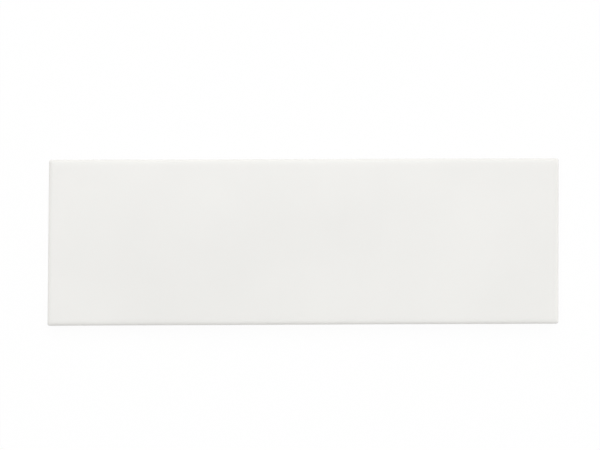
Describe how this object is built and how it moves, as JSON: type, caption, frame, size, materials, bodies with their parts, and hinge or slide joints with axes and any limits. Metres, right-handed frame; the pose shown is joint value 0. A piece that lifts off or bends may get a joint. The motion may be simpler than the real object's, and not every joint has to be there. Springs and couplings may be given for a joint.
{
  "type": "ceramic field tile",
  "caption": "Oblong glazed ceramic wall tile with a flat face, cushioned edges all round and a keyed back for adhesive.",
  "frame": {"origin": "middle of the back, on the plane that the keying ribs and the rim rest on", "axes": "+X along the tile's length, +Y across its width, +Z out of the glazed face"},
  "size_m": [0.2, 0.065, 0.008],
  "materials": {
    "glaze": "gloss"
  },
  "bodies": {
    "root": {"field_tile": "glaze"}
  },
  "joints": []
}
